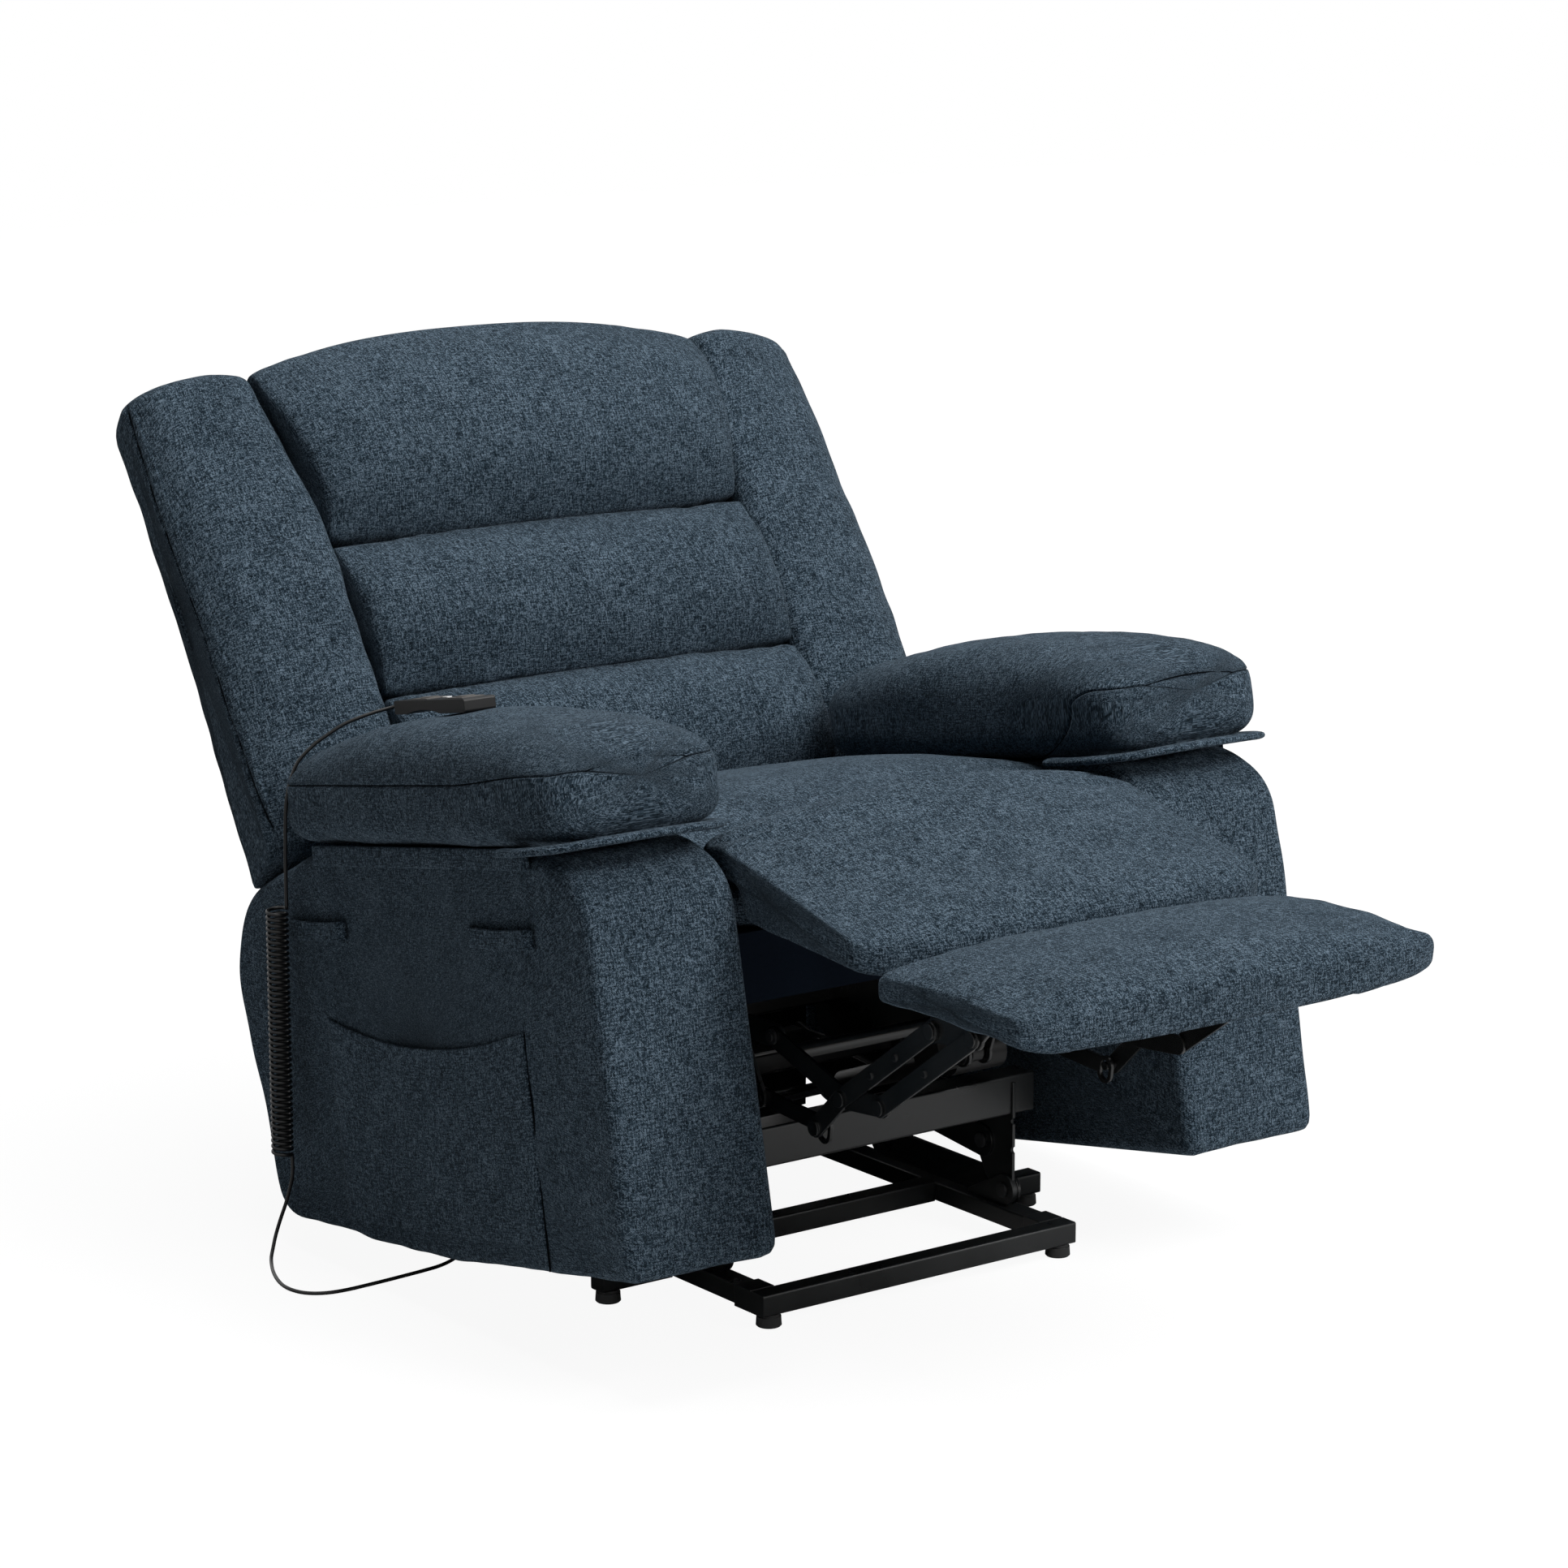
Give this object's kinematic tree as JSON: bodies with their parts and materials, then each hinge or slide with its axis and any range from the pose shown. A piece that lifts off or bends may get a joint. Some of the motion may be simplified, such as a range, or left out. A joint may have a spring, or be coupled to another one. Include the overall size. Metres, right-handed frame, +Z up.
{
  "type": "power lift recliner chair",
  "caption": "Upholstered power lift recliner on a steel lift base, leg rest out, with a wired handset on the arm pad.",
  "frame": {"origin": "on the floor under the middle of the chair's overall box, cords left out", "axes": "+Z up, -Y the way the sitter faces, +X the sitter's left"},
  "size_m": [1.1152, 1.5267, 1.0392],
  "materials": {
    "powder_black": "satin black powder coat",
    "zinc_dark": "black finished bolts and rivets",
    "rod_steel": "bright plated rod",
    "foot_rubber": "matt black rubber",
    "chenille_navy": "heathered slate navy chenille",
    "lining_navy": "plain dark navy lining cloth",
    "board_ply": "bare plywood",
    "handset_black": "fine satin texture",
    "key_black": "gloss",
    "cord_black": "satin black sheath"
  },
  "bodies": {
    "base": {"front_rail": "powder_black", "side_rail_left": "powder_black", "side_rail_right": "powder_black", "mid_cross_bar": "powder_black", "rear_cross_bar": "powder_black", "outriggers": "powder_black", "rubber_feet": "foot_rubber", "upright_left": "powder_black", "upright_right": "powder_black", "base_lugs": "powder_black", "front_beam": "powder_black", "base_bolts": "zinc_dark"},
    "upper_link": {"upper_links": "powder_black", "link_tube": "powder_black"},
    "lower_link": {"lower_links": "powder_black"},
    "chassis": {"chassis_plate_left": "powder_black", "chassis_plate_right": "powder_black", "chassis_cross_tubes": "powder_black", "chassis_bolts": "zinc_dark"},
    "seat_frame": {"action_plate_left": "powder_black", "action_plate_right": "powder_black", "seat_cross_tubes": "powder_black", "seat_bolts": "zinc_dark", "seat_box": "lining_navy", "seat_cushion": "chenille_navy", "arm_left": "chenille_navy", "arm_right": "chenille_navy", "arm_pad_left": "chenille_navy", "arm_pad_right": "chenille_navy", "pad_skirts": "chenille_navy", "side_pocket": "chenille_navy", "arm_loops": "chenille_navy", "handset_case": "handset_black", "control_box": "handset_black", "cord_upper": "cord_black", "cord_coil": "cord_black", "cord_lower": "cord_black", "cord_relief": "cord_black"},
    "key_front": {"handset_key_front": "key_black"},
    "key_rear": {"handset_key_rear": "key_black"},
    "drive_link": {"rear_links": "powder_black", "drive_tube": "powder_black"},
    "long_link": {"long_links": "powder_black"},
    "short_link": {"short_links": "powder_black"},
    "stay_link": {"stay_links": "powder_black"},
    "foot_rest": {"foot_board": "board_ply", "foot_brackets": "powder_black", "foot_pad": "chenille_navy"},
    "calf_rest": {"calf_pad": "chenille_navy"},
    "back": {"back_frame": "board_ply", "wing_left": "chenille_navy", "wing_right": "chenille_navy", "headrest_cushion": "chenille_navy", "middle_cushion": "chenille_navy", "lumbar_cushion": "chenille_navy", "back_cover": "lining_navy"},
    "lift_motor": {"lift_actuator": "handset_black"},
    "lift_piston": {"lift_rod": "rod_steel"},
    "recline_motor": {"recline_actuator": "handset_black"},
    "recline_piston": {"recline_rod": "rod_steel"}
  },
  "joints": [
    {"name": "lift", "type": "hinge", "parent": "base", "child": "upper_link", "pos_m": [0, -0.079, 0.111], "axis": [1, 0, 0], "range_deg": [0, 55]},
    {"name": "lower_link_swing", "type": "hinge", "parent": "base", "child": "lower_link", "pos_m": [0, -0.121, 0.0586], "axis": [1, 0, 0], "range_deg": [0, 61.89]},
    {"name": "chassis_tip", "type": "hinge", "parent": "upper_link", "child": "chassis", "pos_m": [0, 0.24913, 0.14607], "axis": [1, 0, 0], "range_deg": [-35.2, 0]},
    {"name": "body_tilt", "type": "hinge", "parent": "chassis", "child": "seat_frame", "pos_m": [0, 0.171, 0.13], "axis": [1, 0, 0], "range_deg": [0, 10.05]},
    {"name": "footrest_fold", "type": "hinge", "parent": "seat_frame", "child": "drive_link", "pos_m": [0, -0.2252, 0.34202], "axis": [1, 0, 0], "range_deg": [0, 80]},
    {"name": "long_link_swing", "type": "hinge", "parent": "drive_link", "child": "long_link", "pos_m": [0, -0.35449, 0.29983], "axis": [1, 0, 0], "range_deg": [-112.2, 0]},
    {"name": "short_link_swing", "type": "hinge", "parent": "drive_link", "child": "short_link", "pos_m": [0, -0.42447, 0.30608], "axis": [1, 0, 0], "range_deg": [-112.2, 0]},
    {"name": "foot_rest_swing", "type": "hinge", "parent": "long_link", "child": "foot_rest", "pos_m": [0, -0.51242, 0.41196], "axis": [1, 0, 0], "range_deg": [0, 112.2]},
    {"name": "stay_swing", "type": "hinge", "parent": "seat_frame", "child": "stay_link", "pos_m": [0, -0.1924, 0.26373], "axis": [1, 0, 0], "range_deg": [0, 87.32]},
    {"name": "calf_fold", "type": "hinge", "parent": "seat_frame", "child": "calf_rest", "pos_m": [0, -0.26386, 0.47983], "axis": [1, 0, 0], "range_deg": [0, 68.2], "deforming": ["calf_pad"]},
    {"name": "back_recline", "type": "hinge", "parent": "seat_frame", "child": "back", "pos_m": [0, 0.30421, 0.3096], "axis": [1, 0, 0], "range_deg": [-30, 3]},
    {"name": "key_front_press", "type": "slide", "parent": "seat_frame", "child": "key_front", "axis": [0, -0.1736, -0.9848], "range_m": [0, 0.001], "stiffness_N_per_m": 400},
    {"name": "key_rear_press", "type": "slide", "parent": "seat_frame", "child": "key_rear", "axis": [0, -0.1736, -0.9848], "range_m": [0, 0.001], "stiffness_N_per_m": 400},
    {"name": "lift_motor_swing", "type": "hinge", "parent": "base", "child": "lift_motor", "pos_m": [-0.062, 0.329, 0.061], "axis": [1, 0, 0], "range_deg": [-11.46, 0]},
    {"name": "lift_piston_slide", "type": "slide", "parent": "lift_motor", "child": "lift_piston", "axis": [0, -0.9539, 0.3003], "range_m": [0, 0.12603]},
    {"name": "recline_piston_swing", "type": "hinge", "parent": "seat_frame", "child": "recline_piston", "pos_m": [0.06, 0.20472, 0.1139], "axis": [1, 0, 0], "range_deg": [-7.88, 0]},
    {"name": "recline_motor_slide", "type": "slide", "parent": "recline_piston", "child": "recline_motor", "axis": [0, 0.9359, -0.3523], "range_m": [0, 0.05292]}
  ],
  "couplings": [
    {"joint": "lower_link_swing", "follows": "lift", "ratio": 1.1216},
    {"joint": "chassis_tip", "follows": "lift", "ratio": -0.63636},
    {"joint": "lift_motor_swing", "follows": "lift", "ratio": -0.20471},
    {"joint": "lift_piston_slide", "follows": "lift", "m_per_rad": 0.13108},
    {"joint": "body_tilt", "follows": "footrest_fold", "ratio": 0.125},
    {"joint": "long_link_swing", "follows": "footrest_fold", "ratio": -1.4},
    {"joint": "short_link_swing", "follows": "footrest_fold", "ratio": -1.4},
    {"joint": "foot_rest_swing", "follows": "footrest_fold", "ratio": 1.4},
    {"joint": "stay_swing", "follows": "footrest_fold", "ratio": 1.089},
    {"joint": "calf_fold", "follows": "footrest_fold", "ratio": 0.85},
    {"joint": "recline_piston_swing", "follows": "footrest_fold", "ratio": -0.095994},
    {"joint": "recline_motor_slide", "follows": "footrest_fold", "m_per_rad": 0.037757}
  ]
}
